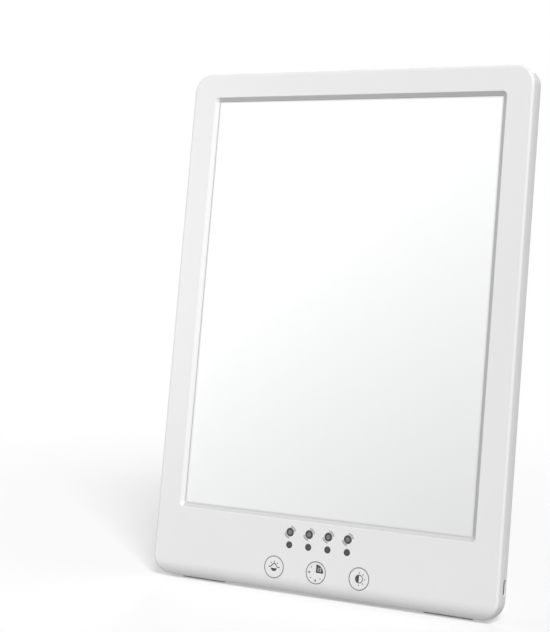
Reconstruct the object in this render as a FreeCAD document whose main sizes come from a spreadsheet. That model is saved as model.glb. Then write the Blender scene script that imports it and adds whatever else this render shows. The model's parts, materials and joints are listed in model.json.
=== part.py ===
"""Light therapy lamp: a thin upright light panel on a fold-out rear leg.

The panel is modelled upright in its own frame and then leaned back as a whole.
In that frame X runs to the right, Y goes from the front face into the panel
and Z runs up from the lower edge.  Millimetres.
"""
import FreeCAD, Part
import math
import os
import Sketcher

from FreeCAD import Placement, Rotation, Vector

SIZES = {
    # Housing: a front frame and a rear cover that meet at the seam
    "panel_width": 230.0,
    "panel_height": 315.0,
    "panel_depth": 16.0,
    "corner_radius": 11.5,
    "wall": 2.0,
    "seam_depth": 5.0,
    "seam_gap": 0.25,
    "front_round": 1.6,
    "back_round": 6.5,
    "back_shoulder": 2.5,
    "groove_depth": 1.2,
    "tongue_reach": 1.0,
    "tongue_fit": 0.08,
    "lean_angle": 10.0,
    # Chin: the lower front edge rolls away in one arc
    "chin_height": 8.5,
    "chin_depth": 3.8,
    "chin_wall": 9.0,
    # Window, measured to the outer lip of its bevel
    "window_side": 16.0,
    "window_top": 15.1,
    "window_bottom": 42.1,
    "window_corner": 3.0,
    "bevel_width": 2.5,
    "bevel_depth": 1.9,
    # Timer lights and touch areas on the control band
    "lens_pitch": 12.9,
    "lens_level": 27.6,
    "lens_radius": 2.05,
    "lens_fit": 0.02,
    "lens_flange": 5.4,
    "flange_thick": 0.8,
    "led_size": 1.6,
    "led_thick": 0.7,
    "touch_pitch": 28.45,
    "touch_level": 13.5,
    "touch_pad_size": 8.2,
    # Power inlet in the right edge
    "port_level": 19.0,
    "port_depth": 8.0,
    "port_length": 9.3,
    "port_width": 3.4,
    "port_inset": 0.6,
    "port_reach": 7.2,
    "port_metal": 0.3,
    "port_fit": 0.12,
    "tongue_width": 6.6,
    "tongue_thick": 0.7,
    # Light stack, from the window to the back
    "screen_side": 13.5,
    "screen_top": 11.0,
    "screen_bottom": 41.0,
    "diffuser_depth": 2.1,
    "diffuser_thick": 2.0,
    "guide_depth": 4.2,
    "guide_thick": 3.0,
    "reflector_depth": 7.3,
    "reflector_thick": 0.3,
    "backing_depth": 7.7,
    "backing_thick": 1.0,
    "sheet_play": 0.2,
    # Light strips beside the guide
    "strip_low": 47.0,
    "strip_high": 294.0,
    "strip_thick": 1.0,
    "emitter_length": 3.2,
    "emitter_height": 1.2,
    "emitter_inset": 0.4,
    "emitter_margin": 2.0,
    # Control board
    "board_depth": 4.75,
    "board_thick": 1.6,
    "board_half": 95.0,
    "board_play": 0.6,
    "board_step": 16.5,
    "part_gap": 0.01,
    "lead_thick": 0.3,
    "lead_width": 0.9,
    "connector_place": 88.0,
    "connector_span": 8.0,
    "connector_level": 31.0,
    "connector_height": 5.0,
    # Housing screws, driven from the back
    "screw_side_low": 11.5,
    "screw_level_low": 11.5,
    "screw_side_high": 8.0,
    "screw_drop_high": 7.3,
    "screw_radius": 1.05,
    "screw_head": 2.4,
    "screw_head_height": 1.5,
    "screw_bearing": 8.2,
    "screw_tip": 2.6,
    "screw_fit": 0.15,
    "pilot_fit": 0.05,
    "boss_width": 5.6,
    "post_width": 6.6,
    # Leg, its bay and its hinge
    "bay_width": 66.0,
    "bay_floor": 11.1,
    "bay_corner": 2.0,
    "bay_wall": 1.8,
    "hinge_level": 150.0,
    "hinge_depth": 13.6,
    "hinge_boss": 7.0,
    "hinge_boss_half": 5.0,
    "pin_radius": 1.25,
    "pin_fit": 0.05,
    "pin_reach": 8.0,
    "bore_reach": 8.5,
    "opening_angle": 22.0,
    "leg_width": 65.0,
    "leg_foot_width": 50.0,
    "leg_corner": 3.0,
    "leg_shoulder": 22.0,
    "leg_thick": 4.2,
    "leg_offset": 0.1,
    "leg_skin": 1.8,
    "leg_rim": 2.4,
    "leg_rib": 1.8,
    "barrel_radius": 2.1,
    "heel_length": 7.0,
    "heel_clear": 0.9,
    "heel_gap": 0.05,
    "tip_length": 6.0,
    "tip_corner": 4.0,
    "washer_radius": 2.0,
    "washer_thick": 0.4,
    # Rubber feet in the lower edge
    "foot_span": 30.0,
    "foot_centre": 82.0,
    "foot_depth": 8.3,
    "foot_run": 4.0,
    "foot_seat": 0.9,
    "foot_sole": -2.5,
    "foot_fit": 0.05,
    # Rear cover's ribs and vents
    "rib_place": 62.0,
    "rib_thick": 1.2,
    "rib_low": 60.0,
    "rib_drop": 50.0,
    "vent_level": 292.0,
    "vent_pitch": 7.0,
    "vent_width": 2.0,
    "vent_length": 14.0,
}

VENT_COUNT = 13
EMITTER_COUNT = 24
LENS_STEPS = (-1.5, -0.5, 0.5, 1.5)
LEG_CELLS = 4
SIDES = (("left", "-"), ("right", ""))

# How far a cut runs past the face that it starts or ends on
OVERRUN = 1.0

doc = FreeCAD.newDocument("lamp")
parts = []


def make_sheet():
    sheet = doc.addObject("Spreadsheet::Sheet", "Sizes")
    for row, (name, value) in enumerate(SIZES.items(), start=1):
        sheet.set(f"A{row}", name)
        sheet.set(f"B{row}", str(value))
        sheet.setAlias(f"B{row}", name)
    doc.recompute()
    return sheet


sheet = make_sheet()


def bound(text):
    """A formula over the sheet's names, as an expression of the document."""
    words = sorted(SIZES, key=len, reverse=True)
    out = ""
    place = 0
    while place < len(text):
        name = next((word for word in words if text.startswith(word, place)), None)
        inside_word = place > 0 and (text[place - 1].isalnum() or text[place - 1] == "_")
        if name and not inside_word:
            out += "Sizes." + name
            place += len(name)
        else:
            out += text[place]
            place += 1
    return out


def value_of(text):
    """The number that a formula over the sheet gives now."""
    return float(sheet.evalExpression(bound(str(text))))


def new_body(name):
    body = doc.addObject("PartDesign::Body", name)
    body.Label = name
    parts.append(body)
    return body


def new_sketch(body, name, role, offset="0"):
    """A sketch on one of the body's own origin planes, shifted along its normal."""
    sketch = body.newObject("Sketcher::SketchObject", name)
    plane = next(item for item in body.Origin.OriginFeatures if item.Role == role)
    sketch.AttachmentSupport = [(plane, "")]
    sketch.MapMode = "FlatFace"
    sketch.setExpression("AttachmentOffset.Base.z", bound(offset))
    return sketch


def at_panel_depth(body, name, depth):
    """A sketch parallel to the front face, at a depth into the panel."""
    return new_sketch(body, name, "XZ_Plane", f"-({depth})")


def pin_point(sketch, geometry, vertex, across, upward):
    """Hold one point of a sketch at a place given by two formulas."""
    for kind, text in (("DistanceX", across), ("DistanceY", upward)):
        index = sketch.addConstraint(
            Sketcher.Constraint(kind, -1, 1, geometry, vertex, value_of(text)))
        sketch.setExpression(f"Constraints[{index}]", bound(text))


def hold_radius(sketch, geometry, radius):
    index = sketch.addConstraint(Sketcher.Constraint("Radius", geometry, value_of(radius)))
    sketch.setExpression(f"Constraints[{index}]", bound(radius))


def add_rounded(sketch, left, right, bottom, top, radius):
    """A closed rounded rectangle, held by its four sides and one radius."""
    x0, x1 = value_of(left), value_of(right)
    z0, z1 = value_of(bottom), value_of(top)
    r = value_of(radius)
    first = sketch.GeometryCount
    corners = [
        ((x1 - r, z0 + r), -90, (x0 + r, z0), (x1 - r, z0)),
        ((x1 - r, z1 - r), 0, (x1, z0 + r), (x1, z1 - r)),
        ((x0 + r, z1 - r), 90, (x1 - r, z1), (x0 + r, z1)),
        ((x0 + r, z0 + r), 180, (x0, z1 - r), (x0, z0 + r)),
    ]
    for (cx, cz), turn, start, end in corners:
        sketch.addGeometry(Part.LineSegment(Vector(*start, 0), Vector(*end, 0)))
        circle = Part.Circle(Vector(cx, cz, 0), Vector(0, 0, 1), r)
        sketch.addGeometry(
            Part.ArcOfCircle(circle, math.radians(turn), math.radians(turn + 90)))
    for step in range(8):
        this, following = first + step, first + (step + 1) % 8
        sketch.addConstraint(Sketcher.Constraint("Tangent", this, 2, following, 1))
    for step, kind in ((0, "Horizontal"), (2, "Vertical"), (4, "Horizontal"), (6, "Vertical")):
        sketch.addConstraint(Sketcher.Constraint(kind, first + step))
    for step in (3, 5, 7):
        sketch.addConstraint(Sketcher.Constraint("Equal", first + 1, first + step))
    hold_radius(sketch, first + 1, radius)
    for step, kind, text in ((6, "DistanceX", left), (2, "DistanceX", right),
                             (0, "DistanceY", bottom), (4, "DistanceY", top)):
        index = sketch.addConstraint(
            Sketcher.Constraint(kind, -1, 1, first + step, 1, value_of(text)))
        sketch.setExpression(f"Constraints[{index}]", bound(text))


def add_polygon(sketch, points):
    """A closed outline of straight lines through points given by formulas."""
    first = sketch.GeometryCount
    count = len(points)
    places = [Vector(value_of(a), value_of(b), 0) for a, b in points]
    for step in range(count):
        sketch.addGeometry(Part.LineSegment(places[step], places[(step + 1) % count]))
    for step in range(count):
        following = first + (step + 1) % count
        sketch.addConstraint(Sketcher.Constraint("Coincident", first + step, 2, following, 1))
    for step, (across, upward) in enumerate(points):
        pin_point(sketch, first + step, 1, across, upward)


def add_rectangle(sketch, left, right, bottom, top):
    add_polygon(sketch, [(left, bottom), (right, bottom), (right, top), (left, top)])


def add_centred(sketch, across, level, width, height):
    """A rectangle about its middle."""
    add_rectangle(
        sketch,
        f"{across} - ({width}) / 2", f"{across} + ({width}) / 2",
        f"{level} - ({height}) / 2", f"{level} + ({height}) / 2")


def add_circle(sketch, across, upward, radius):
    centre = Vector(value_of(across), value_of(upward), 0)
    index = sketch.addGeometry(Part.Circle(centre, Vector(0, 0, 1), value_of(radius)))
    hold_radius(sketch, index, radius)
    pin_point(sketch, index, 3, across, upward)


def extrude(body, kind, sketch, length, reverse=False, midplane=False):
    """A Pad or a Pocket of a sketch; a Pocket has to take material away."""
    before = body.Tip.Shape.Volume if kind == "Pocket" else 0.0
    feature = body.newObject("PartDesign::" + kind, kind + sketch.Name)
    feature.Profile = sketch
    feature.setExpression("Length", bound(length))
    feature.Reversed = reverse
    feature.Midplane = midplane
    doc.recompute()
    if kind == "Pocket" and feature.Shape.Volume >= before:
        raise ValueError(f"{feature.Name} cuts nothing")
    return feature


def pad_inwards(body, sketch, length):
    """Add material from a sketch parallel to the front face, into the panel."""
    return extrude(body, "Pad", sketch, length, reverse=True)


def cut_inwards(body, sketch, length):
    return extrude(body, "Pocket", sketch, length)


def cut_from_back(body, sketch, length):
    return extrude(body, "Pocket", sketch, length, reverse=True)


def loft_cut(body, name, sketches):
    """Take away the ruled solid between two outlines."""
    before = body.Tip.Shape.Volume
    feature = body.newObject("PartDesign::SubtractiveLoft", name)
    feature.Profile = sketches[0]
    feature.Sections = sketches[1:]
    feature.Ruled = True
    doc.recompute()
    if feature.Shape.Volume >= before:
        raise ValueError(f"{name} cuts nothing")
    return feature


def round_edges(body, radius, keep):
    """A Fillet on the edges of the body for which keep(edge) is true."""
    base = body.Tip
    names = [f"Edge{k}" for k, edge in enumerate(base.Shape.Edges, start=1) if keep(edge)]
    if not names:
        raise ValueError(f"no edge to round on {body.Label}")
    feature = body.newObject("PartDesign::Fillet", f"Round{body.Label}")
    feature.Base = (base, names)
    feature.setExpression("Radius", bound(radius))
    doc.recompute()
    return feature


def repeat_row(body, feature, sketch, axis, length, count):
    """Repeat one feature in an evenly spaced row along an axis of its sketch."""
    row = body.newObject("PartDesign::LinearPattern", "Row" + feature.Name)
    row.Originals = [feature]
    row.Direction = (sketch, [axis])
    row.setExpression("Length", bound(length))
    row.Occurrences = count
    body.Tip = row
    doc.recompute()


# The housing's outline, moved inwards by an inset
def add_outline(sketch, inset="0"):
    add_rounded(
        sketch,
        f"-(panel_width / 2 - ({inset}))", f"panel_width / 2 - ({inset})",
        f"{inset}", f"panel_height - ({inset})",
        f"corner_radius - ({inset})")


def screw_places():
    """The four screw axes, one near each corner."""
    low = ("(panel_width / 2 - screw_side_low)", "screw_level_low")
    high = ("(panel_width / 2 - screw_side_high)", "(panel_height - screw_drop_high)")
    return [(side + across, level) for _, side in SIDES for across, level in (low, high)]


def lens_places():
    return [f"lens_pitch * {step}" for step in LENS_STEPS]


# Front frame: the bevelled window frame with the control band below it
def make_front_frame():
    body = new_body("front_frame")
    face = at_panel_depth(body, "FrameOutline", "0")
    add_outline(face)
    pad_inwards(body, face, "seam_depth")

    chin = new_sketch(body, "ChinProfile", "YZ_Plane")
    add_chin(chin)
    extrude(body, "Pocket", chin, f"panel_width + {OVERRUN}", midplane=True)
    round_edges(body, "front_round", is_front_rim)

    inside = at_panel_depth(body, "FrameInside", "wall")
    add_rounded(
        inside,
        "-(panel_width / 2 - wall)", "panel_width / 2 - wall",
        "chin_wall", "panel_height - wall", "corner_radius - wall")
    cut_inwards(body, inside, "seam_depth")

    groove = at_panel_depth(body, "FrameGroove", "seam_depth - groove_depth")
    add_outline(groove, "wall / 2")
    cut_inwards(body, groove, "seam_depth")

    window = at_panel_depth(body, "FrameWindow", "0")
    add_window(window, "bevel_width", "window_corner / 2")
    cut_inwards(body, window, f"wall + {OVERRUN}")
    add_screw_bosses(body)

    lenses = at_panel_depth(body, "FrameLensHoles", "0")
    for across in lens_places():
        add_circle(lenses, across, "lens_level", "lens_radius + lens_fit")
    cut_inwards(body, lenses, f"wall + {OVERRUN}")

    lip = at_panel_depth(body, "BevelLip", "0")
    add_window(lip, "0", "window_corner")
    land = at_panel_depth(body, "BevelLand", "bevel_depth")
    add_window(land, "bevel_width", "window_corner / 2")
    loft_cut(body, "WindowBevel", [lip, land])


def is_front_rim(edge):
    """True on the front's outer rim, but not where the chin runs into the flat face."""
    box = edge.BoundBox
    slack = 0.01
    level_line = box.ZLength < slack and abs(box.ZMin - value_of("chin_height")) < slack
    return box.YMax < value_of("chin_depth") + slack and not level_line


def add_window(sketch, inset, radius):
    """The window's outline, moved inwards from its outer lip by an inset."""
    add_rounded(
        sketch,
        f"-(panel_width / 2 - window_side - {inset})",
        f"panel_width / 2 - window_side - {inset}",
        f"window_bottom + {inset}",
        f"panel_height - window_top - {inset}",
        radius)


def add_chin(sketch):
    """The strip taken off so that the lower front edge rolls away in one arc."""
    height, depth = value_of("chin_height"), value_of("chin_depth")
    radius = (height * height + depth * depth) / (2 * depth)
    circle = Part.Circle(Vector(radius, height, 0), Vector(0, 0, 1), radius)
    end = math.pi + math.asin(height / radius)
    sketch.addGeometry(Part.ArcOfCircle(circle, math.pi, end))
    corners = [
        ("chin_depth", "0"),
        ("chin_depth", f"{-OVERRUN}"),
        (f"{-OVERRUN}", f"{-OVERRUN}"),
        (f"{-OVERRUN}", "chin_height"),
        ("0", "chin_height"),
    ]
    places = [Vector(value_of(a), value_of(b), 0) for a, b in corners]
    for start, following in zip(places, places[1:]):
        sketch.addGeometry(Part.LineSegment(start, following))
    sketch.addConstraint(Sketcher.Constraint("Coincident", 0, 2, 1, 1))
    for line in (1, 2, 3):
        sketch.addConstraint(Sketcher.Constraint("Coincident", line, 2, line + 1, 1))
    sketch.addConstraint(Sketcher.Constraint("Coincident", 4, 2, 0, 1))
    pin_point(sketch, 0, 3, "(chin_height ^ 2 + chin_depth ^ 2) / (2 * chin_depth)", "chin_height")
    for line, (across, upward) in enumerate(corners[:4], start=1):
        pin_point(sketch, line, 1, across, upward)
    sketch.addConstraint(Sketcher.Constraint("Horizontal", 4))


def add_screw_bosses(body):
    """Square bosses behind the front face, each with a pilot bore for its screw."""
    bosses = at_panel_depth(body, "FrameBosses", "wall - seam_gap")
    pilots = at_panel_depth(body, "FramePilots", "seam_depth")
    for across, level in screw_places():
        add_centred(bosses, across, level, "boss_width", "boss_width")
        add_circle(pilots, across, level, "screw_radius + pilot_fit")
    pad_inwards(body, bosses, "seam_depth - wall + seam_gap")
    cut_from_back(body, pilots, "seam_depth - screw_tip + seam_gap")


# Rear cover: a tray with a bay for the leg, screw seats, vents and the port cut-out
def make_back_cover():
    body = new_body("back_cover")
    outer = at_panel_depth(body, "CoverOutline", "seam_depth + seam_gap")
    add_outline(outer)
    pad_inwards(body, outer, "panel_depth - seam_depth - seam_gap")
    round_edges(body, "back_round", is_back_rim)
    hollow_cover(body)

    bay = at_panel_depth(body, "CoverBay", "panel_depth")
    add_rounded(
        bay, "-bay_width / 2", "bay_width / 2",
        "-corner_radius", "hinge_level + heel_length + heel_clear", "bay_corner")
    cut_from_back(body, bay, "panel_depth - bay_floor")
    add_screw_seats(body)

    bores = new_sketch(body, "CoverHingeBores", "YZ_Plane")
    add_circle(bores, "hinge_depth", "hinge_level", "pin_radius + pin_fit / 5")
    extrude(body, "Pocket", bores, "bay_width + 2 * hinge_boss", midplane=True)

    port = new_sketch(body, "CoverPort", "YZ_Plane", "panel_width / 2 - 2 * wall - back_shoulder")
    add_port_outline(port, "0")
    extrude(body, "Pocket", port, "3 * wall + back_shoulder", reverse=True)

    seats = at_panel_depth(body, "CoverFootSeats", "foot_depth")
    for _, side in SIDES:
        add_rectangle(
            seats,
            f"{side}foot_centre - foot_span / 2 - foot_fit",
            f"{side}foot_centre + foot_span / 2 + foot_fit",
            "foot_sole", "foot_seat")
    cut_inwards(body, seats, "foot_run")

    ribs = at_panel_depth(body, "CoverRibs", "backing_depth + backing_thick + sheet_play / 2")
    for _, side in SIDES:
        add_rectangle(
            ribs, f"{side}rib_place - rib_thick / 2", f"{side}rib_place + rib_thick / 2",
            "rib_low", "panel_height - rib_drop")
    pad_inwards(body, ribs, "panel_depth - wall - backing_depth - backing_thick")
    add_vents(body)


def is_back_rim(edge):
    box = edge.BoundBox
    return abs(box.YMin - value_of("panel_depth")) < 0.01


def hollow_cover(body):
    """The tray's inside: full width at the front, stepped in behind, with a tongue at the rim."""
    inside = at_panel_depth(body, "CoverInside", "seam_depth + seam_gap")
    add_outline(inside, "wall")
    cut_inwards(body, inside, "bay_floor - bay_wall - seam_depth - seam_gap")

    deep = at_panel_depth(body, "CoverDeep", "bay_floor - bay_wall")
    add_outline(deep, "wall + back_shoulder")
    add_bay_walls(deep)
    cut_inwards(body, deep, "panel_depth - wall - bay_floor + bay_wall")

    tongue = at_panel_depth(body, "CoverTongue", "seam_depth - tongue_reach")
    add_outline(tongue, "wall / 2 + tongue_fit")
    add_outline(tongue, "wall")
    pad_inwards(body, tongue, "tongue_reach + seam_gap + tongue_fit")


def add_bay_walls(sketch):
    """The island that the leg's bay leaves standing in the tray's inside."""
    low = f"wall + back_shoulder + {OVERRUN / 100}"
    side = "(bay_width / 2 + bay_wall)"
    boss = "(bay_width / 2 + hinge_boss)"
    boss_low = "hinge_level - hinge_boss_half"
    boss_high = "hinge_level + hinge_boss_half"
    top = "hinge_level + heel_length + heel_clear + bay_wall"
    right = [(side, low), (side, boss_low), (boss, boss_low), (boss, boss_high),
             (side, boss_high), (side, top)]
    left = [(f"-{across}", level) for across, level in reversed(right)]
    add_polygon(sketch, right + left)


def add_screw_seats(body):
    """Posts that stand on the frame's bosses, each with a deep seat for a screw head."""
    posts = at_panel_depth(body, "CoverPosts", "seam_depth + seam_gap / 10")
    seats = at_panel_depth(body, "CoverSeats", "panel_depth")
    bores = at_panel_depth(body, "CoverBores", "panel_depth")
    for across, level in screw_places():
        add_centred(posts, across, level, "post_width", "post_width")
        add_circle(seats, across, level, "screw_head + screw_fit")
        add_circle(bores, across, level, "screw_radius + 2 * screw_fit")
    pad_inwards(body, posts, "panel_depth - wall - seam_depth")
    cut_from_back(body, seats, "panel_depth - screw_bearing")
    cut_from_back(body, bores, "panel_depth - seam_depth + seam_gap")


def add_vents(body):
    """A row of slots through the back near the top."""
    vent = at_panel_depth(body, "CoverVent", "panel_depth")
    row_length = f"vent_pitch * {VENT_COUNT - 1}"
    add_centred(vent, f"-{row_length} / 2", "vent_level", "vent_width", "vent_length")
    slot = cut_from_back(body, vent, "2 * wall")
    repeat_row(body, slot, vent, "H_Axis", row_length, VENT_COUNT)


def add_port_outline(sketch, inset):
    """The inlet's oblong outline, moved inwards by an inset."""
    reach = f"(port_width / 2 - {inset})"
    half = f"(port_length / 2 - {inset})"
    add_rounded(
        sketch,
        f"port_depth - {reach}", f"port_depth + {reach}",
        f"port_level - {half}", f"port_level + {half}",
        f"{reach} * 0.98")


# Flat sheets behind the window, from the front to the back
def make_sheets():
    rows = [
        ("diffuser", "diffuser_depth", "diffuser_thick", "0"),
        ("light_guide", "guide_depth", "guide_thick", "sheet_play"),
        ("reflector_sheet", "reflector_depth", "reflector_thick", "sheet_play"),
        ("backing_plate", "backing_depth", "backing_thick", "sheet_play / 2"),
    ]
    for name, depth, thick, play in rows:
        body = new_body(name)
        sketch = at_panel_depth(body, name + "_outline", depth)
        add_rectangle(
            sketch,
            f"-(panel_width / 2 - screen_side - {play})",
            f"panel_width / 2 - screen_side - {play}",
            f"screen_bottom + {play}", f"panel_height - screen_top - {play}")
        pad_inwards(body, sketch, thick)


# Light strip: a narrow board on edge, with a row of emitters facing the guide
def make_strip(name, side):
    body = new_body(name)
    face = "(panel_width / 2 - screen_side + sheet_play)"
    back = f"({face} + strip_thick)"
    board = at_panel_depth(body, name + "_board", "guide_depth")
    add_rectangle(
        board, f"{side}{back}", f"{side}({back} + strip_thick)", "strip_low", "strip_high")
    pad_inwards(body, board, "guide_thick")

    row = at_panel_depth(body, name + "_emitter", "guide_depth + emitter_inset")
    low = "strip_low + emitter_margin"
    add_rectangle(
        row, f"{side}{face}", f"{side}({face} + emitter_height)", low, f"{low} + emitter_length")
    emitter = pad_inwards(body, row, "guide_thick - 2 * emitter_inset")
    run = "strip_high - strip_low - 2 * emitter_margin - emitter_length"
    repeat_row(body, emitter, row, "V_Axis", run, EMITTER_COUNT)


# Flat lead from the board's connector up to the foot of a light strip
def make_lead(name, side):
    body = new_body(name)
    sketch = at_panel_depth(body, name + "_outline", "board_depth + board_thick + 2 * part_gap")
    strip = "(panel_width / 2 - screen_side + sheet_play + strip_thick)"
    inner = f"{side}(connector_place - connector_span / 2)"
    low = "connector_level + connector_height + part_gap"
    high = "screen_bottom - sheet_play"
    add_polygon(sketch, [
        (inner, low), (f"{side}({strip} + lead_width)", low),
        (f"{side}({strip} + lead_width)", "strip_low - part_gap"),
        (f"{side}{strip}", "strip_low - part_gap"), (f"{side}{strip}", high), (inner, high)])
    pad_inwards(body, sketch, "lead_thick")


# Control board: carries the timer lights, the touch pads and the inlet
def make_control_board():
    body = new_body("control_board")
    sketch = at_panel_depth(body, "BoardOutline", "board_depth")
    low, high = "chin_wall + board_play", "screen_bottom - board_play"
    right = "panel_width / 2 - wall - board_play"
    add_polygon(sketch, [
        ("-board_half", low), ("board_half", low), ("board_half", "board_step"),
        (right, "board_step"), (right, high), ("-board_half", high)])
    pad_inwards(body, sketch, "board_thick")
    lights = at_panel_depth(body, "BoardLights", "board_depth - led_thick")
    for across in lens_places():
        add_centred(lights, across, "lens_level", "led_size", "led_size")
    pad_inwards(body, lights, "led_thick + part_gap")


def make_block(name, across, level, width, height, front, thick):
    """A rectangular component about its middle, at a depth into the panel."""
    body = new_body(name)
    sketch = at_panel_depth(body, name + "_outline", front)
    add_centred(sketch, across, level, width, height)
    pad_inwards(body, sketch, thick)


def make_disc(name, across, level, radius, front, thick):
    body = new_body(name)
    sketch = at_panel_depth(body, name + "_outline", front)
    add_circle(sketch, across, level, radius)
    pad_inwards(body, sketch, thick)
    return body


def make_board_parts():
    """What stands on the board's rear face, in the middle and beside both connectors."""
    behind = "board_depth + board_thick + part_gap"
    make_block("controller_chip", "-11.5", "24.5", "9", "9", behind, "1.4")
    make_block("driver_coil", "60", "26", "10", "10", behind, "4.2")
    make_disc("driver_capacitor", "75", "26", "3.2", behind, "6.5")
    for word, side in SIDES:
        make_block(
            "connector_" + word, f"{side}connector_place", "connector_level + connector_height / 2",
            "connector_span", "connector_height", behind, "3.5")


# Touch pads: conductive foam between the board and the back of the front face
def make_touch_pads():
    for word, step in (("left", -1), ("middle", 0), ("right", 1)):
        make_block(
            "touch_pad_" + word, f"touch_pitch * {step}", "touch_level",
            "touch_pad_size", "touch_pad_size",
            "wall + part_gap", "board_depth - wall - 2 * part_gap")


# Timer lens: a round light pipe on a square flange that seats in the frame from behind
def make_lenses():
    front = "lens_fit + part_gap"
    for number, across in enumerate(lens_places(), start=1):
        name = f"timer_lens_{number}"
        body = make_disc(name, across, "lens_level", "lens_radius", front, "wall + flange_thick / 2")
        flange = at_panel_depth(body, name + "_flange", "wall + part_gap")
        add_centred(flange, across, "lens_level", "lens_flange", "lens_flange")
        pad_inwards(body, flange, "flange_thick")


# Power inlet: an oblong steel shell round a plastic tongue
def make_port():
    shell = new_body("port_shell")
    face = "panel_width / 2 - port_inset"
    outer = new_sketch(shell, "ShellOutline", "YZ_Plane", face)
    add_port_outline(outer, "port_fit")
    extrude(shell, "Pad", outer, "port_reach", reverse=True)
    mouth = new_sketch(shell, "ShellMouth", "YZ_Plane", face)
    add_port_outline(mouth, "(port_fit + port_metal)")
    extrude(shell, "Pocket", mouth, "port_reach - 2 * port_metal")

    tongue = new_body("port_tongue")
    section = new_sketch(tongue, "TongueOutline", "YZ_Plane", f"{face} - 2 * port_metal")
    add_centred(section, "port_depth", "port_level", "tongue_thick", "tongue_width")
    extrude(tongue, "Pad", section, "port_reach - 4 * port_metal - part_gap", reverse=True)


# Housing screws: four pan heads in the cover's seats, one group
def make_screws():
    screws = []
    for number, (across, level) in enumerate(screw_places(), start=1):
        shank = add_cylinder(f"Shank{number}", "screw_radius", "screw_bearing - screw_tip")
        head = add_cylinder(f"Head{number}", "screw_head", "screw_head_height")
        for piece, front in ((shank, "screw_tip"), (head, "screw_bearing")):
            piece.Placement = Placement(
                Vector(value_of(across), value_of(front), value_of(level)),
                Rotation(Vector(1, 0, 0), -90))
        screw = doc.addObject("Part::Fuse", f"Screw{number}")
        screw.Base = shank
        screw.Tool = head
        screws.append(screw)
    group = doc.addObject("Part::Compound", "housing_screws")
    group.Links = screws
    group.Label = "housing_screws"
    parts.append(group)
    doc.recompute()


def add_cylinder(name, radius, height):
    cylinder = doc.addObject("Part::Cylinder", name)
    cylinder.setExpression("Radius", bound(radius))
    cylinder.setExpression("Height", bound(height))
    return cylinder


# Rubber foot: a strip let into the lower edge, cut level where it stands
def make_foot(name, side):
    body = new_body(name)
    sketch = new_sketch(body, name + "_section", "YZ_Plane", f"{side}foot_centre")
    front = "(foot_depth + foot_fit)"
    back = "(foot_depth + foot_run - foot_fit)"
    sole = "foot_sole / cos(lean_angle) + {} * tan(lean_angle)"
    top = "foot_seat - part_gap"
    add_polygon(sketch, [
        (front, sole.format(front)), (back, sole.format(back)), (back, top), (front, top)])
    extrude(body, "Pad", sketch, "foot_span", midplane=True)


def leg_length():
    """From the hinge axis to the floor, measured down the middle of the opened leg."""
    drop = "hinge_level * cos(lean_angle) - hinge_depth * sin(lean_angle) - foot_sole"
    return f"(({drop}) / cos(opening_angle - lean_angle))"


def half_leg(level):
    """Half the leg's width at a level under the hinge axis."""
    run = f"({leg_length()} - tip_length - leg_shoulder)"
    taper = "(leg_width - leg_foot_width) / 2"
    return f"(leg_width / 2 - {taper} * max(0; -({level}) - leg_shoulder) / {run})"


# The leg is drawn folded, with the hinge axis through its own origin
def make_leg():
    body = new_body("stand_leg")
    plate = new_sketch(body, "LegOutline", "XZ_Plane", "leg_thick / 2 - leg_offset")
    foot = f"-({leg_length()} - tip_length)"
    right = [
        ("leg_foot_width / 2", foot), ("leg_width / 2", "-leg_shoulder"),
        ("leg_width / 2", "heel_length - leg_corner"),
        ("leg_width / 2 - leg_corner", "heel_length")]
    left = [(f"-({across})", level) for across, level in reversed(right)]
    add_polygon(plate, right + left)
    pad_inwards(body, plate, "leg_thick")

    barrel = new_sketch(body, "LegBarrel", "YZ_Plane")
    add_circle(barrel, "0", "0", "barrel_radius")
    extrude(body, "Pad", barrel, "leg_width", midplane=True)
    cut_heel(body)
    for word, side in SIDES:
        bore = new_sketch(body, "LegBore_" + word, "YZ_Plane", f"{side}(leg_width / 2 + leg_offset)")
        add_circle(bore, "0", "0", "pin_radius + pin_fit")
        extrude(body, "Pocket", bore, "bore_reach", reverse=(side == "-"))
    cut_cells(body)


def cut_heel(body):
    """The sloped heel that meets the bay's floor and stops the leg when it is open."""
    heel = new_sketch(body, "LegHeel", "YZ_Plane")
    stop = "(hinge_depth - bay_floor - heel_gap)"
    top = f"heel_length + {OVERRUN}"
    front = "-leg_thick"
    add_polygon(heel, [
        (front, f"({stop} + {front} * cos(opening_angle)) / sin(opening_angle)"),
        (f"(({top}) * sin(opening_angle) - {stop}) / cos(opening_angle)", top),
        (front, top)])
    extrude(body, "Pocket", heel, f"leg_width + {OVERRUN}", midplane=True)


def cut_cells(body):
    """The hollows between the leg's cross ribs, open to the front."""
    first = "2 * pin_reach"
    pitch = f"(({leg_length()} - tip_length - {first} - leg_rib) / {LEG_CELLS})"
    for number in range(LEG_CELLS):
        high = f"-({first} + {number} * {pitch})"
        low = f"-({first} + {number + 1} * {pitch} - leg_rib)"
        cell = new_sketch(body, f"LegCell{number + 1}", "XZ_Plane", "leg_thick / 2 - leg_offset")
        wide, narrow = f"({half_leg(high)} - leg_rim)", f"({half_leg(low)} - leg_rim)"
        add_polygon(cell, [
            (f"-{wide}", high), (f"-{narrow}", low), (narrow, low), (wide, high)])
        cut_inwards(body, cell, "leg_thick - leg_skin")


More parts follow.
